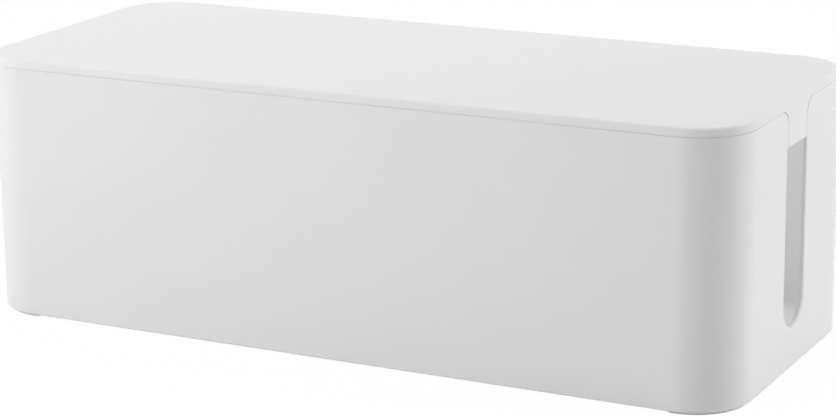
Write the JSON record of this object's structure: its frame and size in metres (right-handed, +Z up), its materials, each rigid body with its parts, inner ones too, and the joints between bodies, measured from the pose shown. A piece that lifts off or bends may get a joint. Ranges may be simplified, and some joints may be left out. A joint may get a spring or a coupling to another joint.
{
  "type": "cable box",
  "caption": "Long rounded box with an upright cable slot in each end and a flush lift-off lid, for hiding a power strip and its cables.",
  "frame": {"origin": "centre of the footprint, on the surface that the corner pads stand on", "axes": "+X along the length towards the right-hand end, +Y from front to back, +Z up"},
  "size_m": [0.4, 0.165, 0.1315],
  "materials": {
    "white_shell": "satin, fine moulded grain",
    "pad_rubber": "soft matte"
  },
  "bodies": {
    "box": {"tub": "white_shell", "foot_front_left": "pad_rubber", "foot_front_right": "pad_rubber", "foot_back_left": "pad_rubber", "foot_back_right": "pad_rubber"},
    "cover": {"lid": "white_shell"}
  },
  "joints": [
    {"name": "lid_lift", "type": "slide", "parent": "box", "child": "cover", "axis": [0, 0, 1], "range_m": [0, 0.16]}
  ]
}
